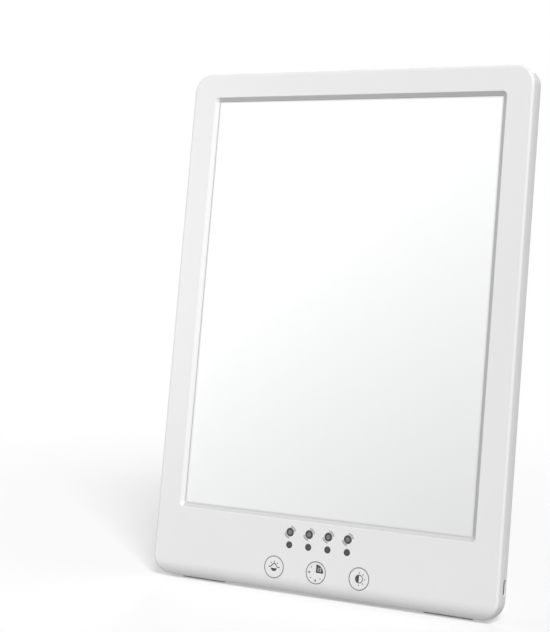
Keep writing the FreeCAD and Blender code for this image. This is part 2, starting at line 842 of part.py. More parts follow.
# Rubber tip: closes the leg's lower end, its sole level when the leg is open
def make_tip():
    body = new_body("stand_tip")
    section = new_sketch(body, "TipSection", "YZ_Plane")
    tilt = "tan(opening_angle - lean_angle)"
    joint = f"-({leg_length()} - tip_length)"
    inner, outer = "(leg_offset - leg_thick / 2)", "(leg_offset + leg_thick / 2)"
    add_polygon(section, [
        (inner, joint), (inner, f"-{leg_length()} - {inner} * {tilt}"),
        (outer, f"-{leg_length()} - {outer} * {tilt}"), (outer, joint)])
    extrude(body, "Pad", section, "leg_foot_width", midplane=True)
    round_edges(body, "tip_corner", is_tip_corner)


def is_tip_corner(edge):
    """True on the two short edges at the ends of the sole."""
    box = edge.BoundBox
    across = box.XLength < 0.01 and box.YLength > value_of("leg_thick") / 2
    return across and box.ZMin < -value_of(f"{leg_length()} - tip_length / 2")


# Hinge pin: one stub on each side, held in the cover and turning in the leg
def make_pin(name, side):
    pin = add_cylinder(name, "pin_radius", "hinge_boss + pin_reach")
    outward = -1 if side == "-" else 1
    end = value_of("bay_width / 2 + hinge_boss - pin_fit")
    pin.Placement = Placement(
        Vector(outward * end, value_of("hinge_depth"), value_of("hinge_level")),
        Rotation(Vector(0, 1, 0), -90 * outward))
    parts.append(pin)
    doc.recompute()


# Spring washer: takes up the play beside the leg and gives the hinge its drag
def make_washer(name, side):
    body = new_body(name)
    ring = new_sketch(body, name + "_ring", "YZ_Plane", f"{side}(leg_width / 2 + pin_fit)")
    add_circle(ring, "hinge_depth", "hinge_level", "washer_radius")
    add_circle(ring, "hinge_depth", "hinge_level", "pin_radius + pin_fit / 2")
    extrude(body, "Pad", ring, "washer_thick", reverse=(side == "-"))


def make_panel():
    """Every piece of the panel, in the panel's own upright frame."""
    make_front_frame()
    make_back_cover()
    make_sheets()
    make_control_board()
    make_board_parts()
    make_touch_pads()
    make_lenses()
    make_port()
    make_screws()
    for word, side in SIDES:
        make_strip("strip_" + word, side)
        make_lead("lead_" + word, side)
        make_foot("foot_" + word, side)
        make_pin("hinge_pin_" + word, side)
        make_washer("hinge_washer_" + word, side)


def stand_up(fixed, moving):
    """Lean the panel back, open the leg, and set the whole on the floor at the origin."""
    lean = Placement(Vector(), Rotation(Vector(1, 0, 0), -value_of("lean_angle")))
    hinge = Vector(0, value_of("hinge_depth"), value_of("hinge_level"))
    opened = Placement(hinge, Rotation(Vector(1, 0, 0), value_of("opening_angle")))
    for piece in fixed:
        piece.Placement = lean.multiply(piece.Placement)
    for piece in moving:
        piece.Placement = lean.multiply(opened)
    doc.recompute()
    box = FreeCAD.BoundBox()
    for piece in fixed + moving:
        box.add(piece.Shape.optimalBoundingBox(False))
    shift = Placement(Vector(-box.Center.x, -box.Center.y, -box.ZMin), Rotation())
    for piece in fixed + moving:
        piece.Placement = shift.multiply(piece.Placement)
    doc.recompute()
    axis = shift.multiply(lean).multVec(hinge)
    print(f"hinge axis through y {axis.y:.4f}, z {axis.z:.4f}")
    print(f"size {box.XLength:.3f} x {box.YLength:.3f} x {box.ZLength:.3f}")


def check_and_write():
    for item in doc.Objects:
        if "Invalid" in item.State or "Error" in item.State:
            raise ValueError(f"{item.Name} failed: {item.getStatusString()}")
    for piece in parts:
        shape = piece.Shape
        if shape.isNull() or not shape.isValid():
            raise ValueError(f"{piece.Label} has no valid shape")
    os.makedirs("parts", exist_ok=True)
    for piece in parts:
        piece.Shape.exportStep(os.path.join("parts", piece.Label + ".step"))
        print(f"{piece.Label}: {piece.Shape.Volume:.1f} mm3, {len(piece.Shape.Solids)} solid")


make_panel()
panel_pieces = list(parts)
make_leg()
make_tip()
stand_up(panel_pieces, parts[len(panel_pieces):])
check_and_write()
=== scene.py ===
"""Finishes, printed marks and small parts of the light therapy lamp, and its studio stage."""

import json
import math

import bmesh
import bpy
from bpy.props import FloatProperty, FloatVectorProperty, IntProperty, PointerProperty
from mathutils import Matrix, Vector


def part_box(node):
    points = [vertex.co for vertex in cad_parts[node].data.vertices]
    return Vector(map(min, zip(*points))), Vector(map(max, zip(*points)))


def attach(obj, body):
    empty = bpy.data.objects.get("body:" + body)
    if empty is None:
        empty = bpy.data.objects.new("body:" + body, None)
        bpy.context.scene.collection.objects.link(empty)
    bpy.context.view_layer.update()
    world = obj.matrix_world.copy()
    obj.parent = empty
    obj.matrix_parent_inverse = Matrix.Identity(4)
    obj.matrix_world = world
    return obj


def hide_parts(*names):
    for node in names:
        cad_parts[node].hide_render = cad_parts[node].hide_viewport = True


bl_info = {
    "name": "Light therapy lamp",
    "version": (1, 0, 0),
    "blender": (4, 5, 0),
    "location": "3D View > Sidebar > Lamp",
    "description": "Dresses the lamp's solids with finishes, printed marks and small parts",
    "category": "Object",
}

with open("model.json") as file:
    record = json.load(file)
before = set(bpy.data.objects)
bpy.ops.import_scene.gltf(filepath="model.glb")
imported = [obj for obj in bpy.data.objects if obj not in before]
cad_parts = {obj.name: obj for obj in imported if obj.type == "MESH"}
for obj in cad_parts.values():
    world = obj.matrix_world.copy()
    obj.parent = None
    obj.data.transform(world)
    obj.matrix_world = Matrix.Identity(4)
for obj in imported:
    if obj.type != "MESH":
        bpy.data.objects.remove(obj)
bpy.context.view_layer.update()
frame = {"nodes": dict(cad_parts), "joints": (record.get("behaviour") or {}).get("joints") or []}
nodes = frame["nodes"]

PANEL = "panel"

# The panel as it is drawn: X across, levels up from its lower edge, depths in from its face
LEAN = math.radians(10.0)
HINGE_LEVEL = 0.150
HINGE_DEPTH = 0.0136
CHIN_HEIGHT = 0.0085
CHIN_DEPTH = 0.0038
CHIN_RADIUS = (CHIN_HEIGHT ** 2 + CHIN_DEPTH ** 2) / (2 * CHIN_DEPTH)
WINDOW_HALF = 0.0965
WINDOW_LOW = 0.0446
WINDOW_HIGH = 0.2974
LENS_LEVEL = 0.0276

# The radius of the painted lighter spot in a timer light
LENS_PAINTED_SPOT = 0.0012

# The most that the screen glows anywhere, painted light included, as a share of the glow at its middle
GLOW_LIMIT = 1.2

# The painted shade on the window bevel's top, right and lower sides: how far out from the opening it
# goes, over what width it fades, how far behind the face it is full, its shade of the frame's white,
# and how much of that shows
BEVEL_REACH = 0.0026
BEVEL_BLEND = 0.0004
BEVEL_START = 0.0003
BEVEL_PAINTED_SHADE = 0.66
BEVEL_SHADE_COVER = 0.8

# The Mix node's sockets when it mixes colours
MIX_FIRST, MIX_SECOND, MIX_RESULT = 6, 7, 2

# The panel's own directions as it stands: across it, up along it, and in through it from its face
ACROSS = Vector((1.0, 0.0, 0.0))
UP = Vector((0.0, math.sin(LEAN), math.cos(LEAN)))
INWARD = Vector((0.0, math.cos(LEAN), -math.sin(LEAN)))
hinge = Vector(frame["joints"][0]["pos_m"])
ORIGIN = hinge - UP * HINGE_LEVEL - INWARD * HINGE_DEPTH


def on_panel(across, level):
    """The place of a point of the panel's face as it stands."""
    return ORIGIN + ACROSS * across + UP * level


def panel_matrix():
    """Stands up a drawing that has X across, Y up the panel and Z out of its face."""
    columns = (ACROSS, UP, -INWARD)
    turn = Matrix([[column[row] for column in columns] for row in range(3)])
    return Matrix.Translation(ORIGIN) @ turn.to_4x4()


class HousingSettings(bpy.types.PropertyGroup):
    """White mouldings: the frame, the rear cover and the leg."""

    front_white: FloatVectorProperty(
        name="Front white", description="Colour of the satin front frame",
        default=(0.83, 0.83, 0.828), subtype="COLOR", min=0.0, max=1.0)
    rear_white: FloatVectorProperty(
        name="Rear white", description="Colour of the rear cover and the leg",
        default=(0.79, 0.79, 0.79), subtype="COLOR", min=0.0, max=1.0)
    grain_size: FloatProperty(
        name="Grain size", description="Size of the moulded grain on the rear cover",
        default=0.0007, min=0.0001, max=0.01, unit="LENGTH")


class ScreenSettings(bpy.types.PropertyGroup):
    """The opal screen, how it glows, and the light and shade painted into it."""

    opal: FloatVectorProperty(
        name="Opal", description="Colour of the opal sheet",
        default=(0.74, 0.745, 0.745), subtype="COLOR", min=0.0, max=1.0)
    glow: FloatProperty(
        name="Glow", description="Light that comes through the middle of the sheet",
        default=0.23, min=0.0, max=5.0)
    # Painted light: the glow rises with height, and at half that rate towards the left
    painted_light_rise: FloatProperty(
        name="Glow rise", description="How much more light comes through per metre of height",
        default=1.0, min=0.0, max=10.0)
    # Painted shade: colour and glow darken within this width of the window frame
    edge_shade: FloatProperty(
        name="Edge shade", description="Width of the darker edge beside the window frame",
        default=0.0016, min=0.0001, max=0.02, unit="LENGTH")


class PrintSettings(bpy.types.PropertyGroup):
    """Printed rings, symbols and numbers on the control band."""

    ink: FloatVectorProperty(
        name="Ink", description="Colour of the dark symbols",
        default=(0.045, 0.046, 0.048), subtype="COLOR", min=0.0, max=1.0)
    grey: FloatVectorProperty(
        name="Grey", description="Colour of the thin rings and arcs",
        default=(0.20, 0.20, 0.205), subtype="COLOR", min=0.0, max=1.0)
    ring_radius: FloatProperty(
        name="Ring radius", description="Radius of a touch ring",
        default=0.0064, min=0.001, max=0.03, unit="LENGTH")
    ring_width: FloatProperty(
        name="Ring width", description="Width of a touch ring's line",
        default=0.0006, min=0.0001, max=0.002, unit="LENGTH")
    ring_pitch: FloatProperty(
        name="Ring pitch", description="Distance between two touch rings",
        default=0.02845, min=0.005, max=0.1, unit="LENGTH")
    ring_level: FloatProperty(
        name="Ring level", description="Height of the touch rings above the lower edge",
        default=0.0135, min=0.0, max=0.1, unit="LENGTH")
    timer_pitch: FloatProperty(
        name="Timer pitch", description="Distance between two timer marks",
        default=0.0129, min=0.005, max=0.1, unit="LENGTH")
    timer_level: FloatProperty(
        name="Timer level", description="Height of the timer marks above the lower edge",
        default=0.0351, min=0.0, max=0.1, unit="LENGTH")
    timer_radius: FloatProperty(
        name="Timer radius", description="Outer radius of a timer mark's dark ring",
        default=0.0026, min=0.001, max=0.01, unit="LENGTH")
    film: FloatProperty(
        name="Film", description="Thickness of the printed film",
        default=0.00002, min=0.00001, max=0.001, unit="LENGTH")


class FastenerSettings(bpy.types.PropertyGroup):
    """Pan-head screws in the rear cover and contacts in the inlet."""

    head_radius: FloatProperty(
        name="Head radius", description="Radius of a screw head",
        default=0.0024, min=0.0005, max=0.01, unit="LENGTH")
    head_height: FloatProperty(
        name="Head height", description="Height of a screw head",
        default=0.0015, min=0.0002, max=0.01, unit="LENGTH")
    shank_radius: FloatProperty(
        name="Shank radius", description="Radius of a screw's shank",
        default=0.00105, min=0.0002, max=0.01, unit="LENGTH")
    contact_count: IntProperty(
        name="Contacts", description="Number of contacts on each side of the inlet's tongue",
        default=12, min=2, max=24)


class StageSettings(bpy.types.PropertyGroup):
    """Studio floor, lamps and camera."""

    lens: FloatProperty(
        name="Lens", description="Focal length in millimetres on a 36 mm long side",
        default=91.08, min=10.0, max=300.0)
    key_light: FloatProperty(
        name="Key light", description="Brightness of a white card that squarely faces the key lamp",
        default=0.95, min=0.0, max=10.0)
    fill_light: FloatProperty(
        name="Fill light", description="Brightness of a white card that squarely faces the fill lamp",
        default=0.19, min=0.0, max=10.0)
    back_light: FloatProperty(
        name="Back light", description="Brightness of a white card that squarely faces the back lamp",
        default=0.6, min=0.0, max=10.0)
    room_light: FloatProperty(
        name="Room light", description="Strength of the even light from all round",
        default=0.13, min=0.0, max=5.0)


# Shader helpers
def new_material(name):
    """A material with a Principled shader wired to its output."""
    material = bpy.data.materials.new(name)
    material.use_nodes = True
    tree = material.node_tree
    return material, tree, tree.nodes["Principled BSDF"]


def object_place(tree, stretch=None):
    """The object's own coordinates, stretched along each axis if asked."""
    source = tree.nodes.new("ShaderNodeTexCoord").outputs["Object"]
    if stretch is None:
        return source
    mapping = tree.nodes.new("ShaderNodeMapping")
    mapping.inputs["Scale"].default_value = stretch
    tree.links.new(source, mapping.inputs["Vector"])
    return mapping.outputs["Vector"]


def noise(tree, scale, detail=3.0, stretch=None):
    """Noise with about as many spots per metre as its scale."""
    texture = tree.nodes.new("ShaderNodeTexNoise")
    texture.inputs["Scale"].default_value = scale
    texture.inputs["Detail"].default_value = detail
    texture.inputs["Roughness"].default_value = 0.55
    tree.links.new(object_place(tree, stretch), texture.inputs["Vector"])
    return texture.outputs["Fac"]


def cells(tree, size, feature="F1"):
    """Distance to the nearest of many scattered points, about a size apart."""
    texture = tree.nodes.new("ShaderNodeTexVoronoi")
    texture.feature = feature
    texture.inputs["Scale"].default_value = 1.0 / size
    tree.links.new(object_place(tree), texture.inputs["Vector"])
    return texture.outputs["Distance"]


def ramp(tree, factor, stops):
    """A colour ramp through (position, colour) stops."""
    node = tree.nodes.new("ShaderNodeValToRGB")
    elements = node.color_ramp.elements
    while len(elements) < len(stops):
        elements.new(0.5)
    for element, (position, colour) in zip(elements, stops):
        element.position = position
        element.color = (*colour, 1.0)
    tree.links.new(factor, node.inputs["Fac"])
    return node.outputs["Color"]


def remap(tree, factor, low, high, start=0.0, end=1.0):
    """Maps a factor from one range onto another, held at both ends."""
    node = tree.nodes.new("ShaderNodeMapRange")
    node.inputs["From Min"].default_value = start
    node.inputs["From Max"].default_value = end
    node.inputs["To Min"].default_value = low
    node.inputs["To Max"].default_value = high
    tree.links.new(factor, node.inputs["Value"])
    return node.outputs["Result"]


def calculate(tree, operation, first, second=0.0):
    """One calculation with two numbers, each a socket or a plain value."""
    node = tree.nodes.new("ShaderNodeMath")
    node.operation = operation
    for socket, value in zip(node.inputs, (first, second)):
        if isinstance(value, (int, float)):
            socket.default_value = value
        else:
            tree.links.new(value, socket)
    return node.outputs[0]


def measured(tree, operation, other=(0.0, 0.0, 0.0)):
    """A number from the object's own coordinates and another vector, such as their distance."""
    node = tree.nodes.new("ShaderNodeVectorMath")
    node.operation = operation
    node.inputs[1].default_value = other
    tree.links.new(object_place(tree), node.inputs[0])
    return node.outputs["Value"]


def panel_distance(tree, direction):
    """How far a point lies along one of the panel's directions, in metres from its origin."""
    along = measured(tree, "DOT_PRODUCT", direction)
    return calculate(tree, "SUBTRACT", along, ORIGIN.dot(direction))


def mixed_colour(tree, factor, first, second):
    """A colour that goes from a socket's to a plain one by a factor."""
    node = tree.nodes.new("ShaderNodeMix")
    node.data_type = "RGBA"
    tree.links.new(factor, node.inputs["Factor"])
    tree.links.new(first, node.inputs[MIX_FIRST])
    node.inputs[MIX_SECOND].default_value = (*second, 1.0)
    return node.outputs[MIX_RESULT]


def mixed_shader(tree, factor, first, second):
    """A shader that goes from the first to the second by a factor."""
    node = tree.nodes.new("ShaderNodeMixShader")
    tree.links.new(factor, node.inputs["Fac"])
    tree.links.new(first, node.inputs[1])
    tree.links.new(second, node.inputs[2])
    return node.outputs["Shader"]


def bump(tree, shader, height, distance, strength):
    """Raises the surface by a height texture, over a real distance in metres."""
    node = tree.nodes.new("ShaderNodeBump")
    node.inputs["Distance"].default_value = distance
    node.inputs["Strength"].default_value = strength
    tree.links.new(height, node.inputs["Height"])
    tree.links.new(node.outputs["Normal"], shader.inputs["Normal"])


def shade(colour, factor):
    """A colour made darker or lighter, and white at most."""
    return tuple(min(1.0, channel * factor) for channel in colour)


def tinted(tree, shader, factor, colour, darkest, lightest, start=0.3, end=0.7):
    """Varies the base colour between two shades by a factor."""
    stops = [(start, shade(colour, darkest)), (end, shade(colour, lightest))]
    tint = ramp(tree, factor, stops)
    tree.links.new(tint, shader.inputs["Base Color"])
    return tint


def rough(tree, shader, factor, low, high):
    """Varies the roughness between two values by a factor."""
    tree.links.new(remap(tree, factor, low, high), shader.inputs["Roughness"])


# Finishes
def satin_moulding(name, colour):
    """A satin moulding with faint flow marks and orange peel, and painted shade on the top, right and
    lower sides of its window bevel.
    """
    material, tree, shader = new_material(name)
    tint = tinted(tree, shader, noise(tree, 9.0, detail=4.0), colour, 0.985, 1.01)
    full = BEVEL_REACH - BEVEL_BLEND
    across = panel_distance(tree, ACROSS)
    level = panel_distance(tree, UP)
    depth = panel_distance(tree, INWARD)
    # Painted shade: the base colour darkens on the top, right and lower sides of the window bevel, not
    # on the left
    painted_shade = BEVEL_SHADE_COVER
    for distance, outer, inner in (
            (depth, 0.0, BEVEL_START),
            (level, WINDOW_LOW - BEVEL_REACH, WINDOW_LOW - full),
            (level, WINDOW_HIGH + BEVEL_REACH, WINDOW_HIGH + full),
            (across, WINDOW_HALF + BEVEL_REACH, WINDOW_HALF + full),
            (across, -WINDOW_HALF - BEVEL_BLEND, -WINDOW_HALF)):
        painted_shade = calculate(tree, "MULTIPLY", painted_shade, remap(tree, distance, 0.0, 1.0, outer, inner))
    shaded_tint = mixed_colour(tree, painted_shade, tint, shade(colour, BEVEL_PAINTED_SHADE))
    tree.links.new(shaded_tint, shader.inputs["Base Color"])
    peel = noise(tree, 260.0, detail=2.0)
    rough(tree, shader, peel, 0.34, 0.42)
    bump(tree, shader, peel, 0.00002, 0.3)
    return material


def grained_moulding(name, colour, grain):
    """A moulding with the fine leather-like grain of spark-eroded tooling."""
    material, tree, shader = new_material(name)
    tinted(tree, shader, noise(tree, 14.0), colour, 0.98, 1.01)
    pebbles = cells(tree, grain, "SMOOTH_F1")
    rough(tree, shader, pebbles, 0.44, 0.58)
    bump(tree, shader, pebbles, 0.00005, 0.6)
    return material


def window_edge_distance(tree):
    """How far a point of the screen is from the window's nearest edge."""
    across = calculate(tree, "ABSOLUTE", panel_distance(tree, ACROSS))
    side = calculate(tree, "SUBTRACT", WINDOW_HALF, across)
    level = panel_distance(tree, UP)
    low = calculate(tree, "SUBTRACT", level, WINDOW_LOW)
    high = calculate(tree, "SUBTRACT", WINDOW_HIGH, level)
    return calculate(tree, "MINIMUM", side, calculate(tree, "MINIMUM", low, high))


def opal_sheet(name, colour, glow, rise, edge):
    """Opal acrylic, lit from behind by the lamp, with painted light that makes it brighter high up and
    on the left, and painted shade that makes it darker in colour and glow at its edges.
    """
    material, tree, shader = new_material(name)
    frost = noise(tree, 900.0, detail=1.0)
    # Painted shade: darker colour and less glow near the window frame
    rim = remap(tree, window_edge_distance(tree), 0.0, 1.0, 0.0, edge)
    stops = [(0.0, shade(colour, 0.72)), (0.55, shade(colour, 0.95)), (1.0, colour)]
    tree.links.new(ramp(tree, rim, stops), shader.inputs["Base Color"])
    rough(tree, shader, frost, 0.30, 0.40)
    bump(tree, shader, frost, 0.00001, 0.2)
    shader.inputs["Specular IOR Level"].default_value = 0.35

    # Painted light: the glow grows higher up and towards the left, up to GLOW_LIMIT
    middle = (WINDOW_LOW + WINDOW_HIGH) / 2
    above = calculate(tree, "SUBTRACT", panel_distance(tree, UP), middle)
    above = calculate(tree, "MULTIPLY", above, rise)
    aside = calculate(tree, "MULTIPLY", panel_distance(tree, ACROSS), -rise / 2)
    light = calculate(tree, "ADD", calculate(tree, "ADD", above, aside), glow)
    light = calculate(tree, "MINIMUM", light, glow * GLOW_LIMIT)
    light = calculate(tree, "MAXIMUM", light, 0.0)
    light = calculate(tree, "MULTIPLY", light, rim)
    tree.links.new(light, shader.inputs["Emission Color"])
    shader.inputs["Emission Strength"].default_value = 1.0
    return material


def clear_acrylic(name):
    """The clear guide sheet, with printed scatter dots on it."""
    material, tree, shader = new_material(name)
    dots = cells(tree, 0.0017)
    tint = ramp(tree, dots, [(0.2, (0.96, 0.97, 0.97)), (0.35, (0.85, 0.9, 0.9))])
    tree.links.new(tint, shader.inputs["Base Color"])
    rough(tree, shader, dots, 0.05, 0.2)
    shader.inputs["Transmission Weight"].default_value = 0.7
    shader.inputs["IOR"].default_value = 1.49
    return material


def soft_rubber(name, colour):
    """Matt moulded rubber with a dusty, uneven face."""
    material, tree, shader = new_material(name)
    dust = noise(tree, 240.0, detail=4.0)
    tinted(tree, shader, dust, colour, 0.8, 1.25)
    rough(tree, shader, dust, 0.7, 0.9)
    bump(tree, shader, noise(tree, 2500.0, detail=1.0), 0.00003, 0.5)
    return material


def bare_metal(name, colour, roughness):
    """Bare metal with drawing or rolling marks across the panel."""
    material, tree, shader = new_material(name)
    marks = noise(tree, 700.0, stretch=(0.05, 1.0, 1.0))
    tinted(tree, shader, marks, colour, 0.86, 1.1)
    rough(tree, shader, marks, roughness - 0.08, roughness + 0.1)
    shader.inputs["Metallic"].default_value = 1.0
    bump(tree, shader, marks, 0.00001, 0.4)
    return material


def printed_ink(name, colour):
    """Screen-printed ink: matt, a little thin in random spots."""
    material, tree, shader = new_material(name)
    cover = noise(tree, 3000.0, detail=2.0)
    tinted(tree, shader, cover, colour, 1.2, 1.0, 0.25, 0.6)
    rough(tree, shader, cover, 0.45, 0.6)
    return material


def smoked_lens(name, colour, centre):
    """Smoked light pipe: dark, with a painted lighter spot at its middle for the light behind it."""
    material, tree, shader = new_material(name)
    # Painted light: the base colour is lighter near the lens's middle
    spot = remap(tree, measured(tree, "DISTANCE", centre), 0.0, 1.0, 0.0, LENS_PAINTED_SPOT)
    tint = ramp(tree, spot, [(0.0, shade(colour, 2.0)), (0.55, shade(colour, 1.5)), (1.0, colour)])
    tree.links.new(tint, shader.inputs["Base Color"])
    rough(tree, shader, noise(tree, 900.0, detail=2.0), 0.3, 0.42)
    return material


def circuit_board(name, colour):
    """Solder mask with the runs of the tracks showing through."""
    material, tree, shader = new_material(name)
    tracks = noise(tree, 300.0, detail=1.0, stretch=(0.25, 1.0, 1.0))
    stops = [(0.44, shade(colour, 0.7)), (0.5, colour), (0.56, shade(colour, 1.35))]
    tree.links.new(ramp(tree, tracks, stops), shader.inputs["Base Color"])
    rough(tree, shader, tracks, 0.3, 0.42)
    bump(tree, shader, tracks, 0.00003, 0.4)
    return material


def speckled_part(name, colour, roughness=0.6):
    """Small moulded or pressed components."""
    material, tree, shader = new_material(name)
    speckle = noise(tree, 1400.0)
    tinted(tree, shader, speckle, colour, 0.8, 1.25)
    rough(tree, shader, speckle, roughness - 0.08, roughness + 0.08)
    bump(tree, shader, speckle, 0.00002, 0.4)
    return material


def dress(material, *names):
    """Gives CAD nodes a material in all their slots."""
    for name in names:
        mesh = nodes[name].data
        if not mesh.materials:
            mesh.materials.append(material)
        for index in range(len(mesh.materials)):
            mesh.materials[index] = material


# Mesh helpers

# The size of a font whose figures are about 1 high
FONT_SIZE = 1.4

# The width of a timer mark's running arcs
TIMER_ARC_WIDTH = 0.00034

# The steps in the rising sun's horizon
HORIZON_STEPS = 32


def add_piece(name, mesh, material, body=PANEL):
    """A finished piece of one material that rides on a body."""
    mesh.name = name
    mesh.materials.clear()
    mesh.materials.append(material)
    piece = bpy.data.objects.new(name, mesh)
    bpy.context.scene.collection.objects.link(piece)
    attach(piece, body)
    return piece


def face_depth(level):
    """How far the front face lies behind its own plane at a level: the chin rolls away."""
    below = max(0.0, CHIN_HEIGHT - level)
    return CHIN_RADIUS - math.sqrt(CHIN_RADIUS ** 2 - below ** 2)


def stand_print(mesh):
    """Lays a drawing on the front face, down over the chin, and stands it up."""
    for vertex in mesh.vertices:
        vertex.co.z -= face_depth(vertex.co.y)
    mesh.transform(panel_matrix())
    return mesh


def plates(name, outlines, film):
    """Closed thin plates from flat outlines, half sunk into the face."""
    shape = bmesh.new()
    for outline in outlines:
        low = [shape.verts.new((x, y, -film / 2)) for x, y in outline]
        high = [shape.verts.new((x, y, film / 2)) for x, y in outline]
        shape.faces.new(high)
        shape.faces.new(low[::-1])
        for step in range(len(outline)):
            following = (step + 1) % len(outline)
            shape.faces.new((low[step], low[following], high[following], high[step]))
    bmesh.ops.triangulate(shape, faces=shape.faces)
    bmesh.ops.recalc_face_normals(shape, faces=shape.faces)
    mesh = bpy.data.meshes.new(name)
    shape.to_mesh(mesh)
    shape.free()
    return mesh


def joined(name, meshes):
    """One mesh from several."""
    shape = bmesh.new()
    for mesh in meshes:
        shape.from_mesh(mesh)
        bpy.data.meshes.remove(mesh)
    whole = bpy.data.meshes.new(name)
    shape.to_mesh(whole)
    shape.free()
    return whole


def turned(radius, angle, centre):
    """A point of a circle at an angle in degrees, anticlockwise from the right."""
    turn = math.radians(angle)
    return (centre[0] + radius * math.cos(turn), centre[1] + radius * math.sin(turn))


def arc(radius, start, end, centre, steps=24):
    """Points along a part of a circle, between two angles in degrees."""
    angles = [start + (end - start) * step / steps for step in range(steps + 1)]
    return [turned(radius, angle, centre) for angle in angles]


def plain_mesh(holder):
    """The mesh that an object's modifiers or curve settings give."""
    depsgraph = bpy.context.evaluated_depsgraph_get()
    return bpy.data.meshes.new_from_object(holder.evaluated_get(depsgraph))


def number(text, height, across, level, film):
    """A printed number as thin closed plates, with figures of a height."""
    curve = bpy.data.curves.new(text, "FONT")
    curve.body = text
    curve.size = height * FONT_SIZE
    curve.align_x = "CENTER"
    curve.align_y = "CENTER"
    curve.extrude = film / 2
    curve.resolution_u = 3
    holder = bpy.data.objects.new(text, curve)
    bpy.context.scene.collection.objects.link(holder)
    mesh = plain_mesh(holder)
    bpy.data.objects.remove(holder)
    bpy.data.curves.remove(curve)
    shape = bmesh.new()
    shape.from_mesh(mesh)
    bmesh.ops.remove_doubles(shape, verts=shape.verts, dist=film / 10)
    bmesh.ops.recalc_face_normals(shape, faces=shape.faces)
    bmesh.ops.translate(shape, verts=shape.verts, vec=(across, level, 0.0))
    shape.to_mesh(mesh)
    shape.free()
    return mesh


# Geometry node trees

# A screw head as shares of its radius: its upper rim, and the reach and width of its cross
CROWN_RIM = 0.72
CROSS_REACH = 1.15
CROSS_WIDTH = 0.22


class Tree:
    """A geometry node tree under construction, with named inputs of (kind, default)."""

    def __init__(self, name, inputs):
        self.group = bpy.data.node_groups.new(name, "GeometryNodeTree")
        add_socket = self.group.interface.new_socket
        add_socket("Geometry", in_out="OUTPUT", socket_type="NodeSocketGeometry")
        add_socket("Geometry", in_out="INPUT", socket_type="NodeSocketGeometry")
        for label, (kind, default) in inputs.items():
            add_socket(label, in_out="INPUT", socket_type="NodeSocket" + kind).default_value = default
        add_socket("Material", in_out="INPUT", socket_type="NodeSocketMaterial")
        self.entry = self.group.nodes.new("NodeGroupInput")
        self.leave = self.group.nodes.new("NodeGroupOutput")

    def value(self, label):
        """One of the tree's own inputs."""
        return self.entry.outputs[label]

    def node(self, kind, options=None, **inputs):
        """A node with its options set and its inputs linked or filled."""
        node = self.group.nodes.new(kind)
        for option, choice in (options or {}).items():
            setattr(node, option, choice)
        for label, value in inputs.items():
            self.feed(node.inputs[label.replace("_", " ")], value)
        return node

    def feed(self, socket, value):
        """Links a socket to another or gives it a plain value."""
        if isinstance(value, bpy.types.NodeSocket):
            self.group.links.new(value, socket)
        else:
            socket.default_value = value

    def maths(self, operation, first, second):
        node = self.group.nodes.new("ShaderNodeMath")
        node.operation = operation
        self.feed(node.inputs[0], first)
        self.feed(node.inputs[1], second)
        return node.outputs[0]

    def vector(self, x=0.0, y=0.0, z=0.0):
        return self.node("ShaderNodeCombineXYZ", X=x, Y=y, Z=z).outputs[0]

    def moved(self, geometry, place):
        return self.node("GeometryNodeTransform", Geometry=geometry, Translation=place).outputs[0]

    def row(self, count, pitch):
        """Points in an even row along X, centred on the origin."""
        span = self.maths("MULTIPLY", self.maths("SUBTRACT", count, 1.0), pitch)
        start = self.vector(self.maths("MULTIPLY", span, -0.5))
        line = self.node(
            "GeometryNodeMeshLine", Count=count, Start_Location=start, Offset=self.vector(pitch))
        return line.outputs[0]

    def on_points(self, points, instance):
        return self.node("GeometryNodeInstanceOnPoints", Points=points, Instance=instance).outputs[0]

    def swept(self, curve, width, height):
        """A band of rectangular section along a flat curve."""
        section = self.node("GeometryNodeCurvePrimitiveQuadrilateral", Width=width, Height=height)
        return self.node("GeometryNodeCurveToMesh", Curve=curve, Profile_Curve=section.outputs[0],
                         Fill_Caps=True).outputs[0]

    def finish(self, geometry):
        """Ends the tree in real geometry with its material set."""
        real = self.node("GeometryNodeRealizeInstances", Geometry=geometry).outputs[0]
        dyed = self.node("GeometryNodeSetMaterial", Geometry=real, Material=self.value("Material"))
        self.feed(self.leave.inputs["Geometry"], dyed.outputs[0])
        return self.group


def grow(name, group, path=(), **values):
    """Runs a tree on a line of flat points, or on nothing, and returns the plain mesh it makes."""
    line = bpy.data.meshes.new(name)
    edges = [(step, step + 1) for step in range(len(path) - 1)]
    line.from_pydata([(x, y, 0.0) for x, y in path], edges, [])
    holder = bpy.data.objects.new(name, line)
    bpy.context.scene.collection.objects.link(holder)
    modifier = holder.modifiers.new("Grow", "NODES")
    modifier.node_group = group
    for socket in group.interface.items_tree:
        label = socket.name.replace(" ", "_")
        if socket.in_out == "INPUT" and label in values:
            modifier[socket.identifier] = values[label]
    mesh = plain_mesh(holder)
    holder.modifiers.clear()
    bpy.data.objects.remove(holder)
    shape = bmesh.new()
    shape.from_mesh(mesh)
    bmesh.ops.recalc_face_normals(shape, faces=shape.faces)
    shape.to_mesh(mesh)
    shape.free()
    return mesh


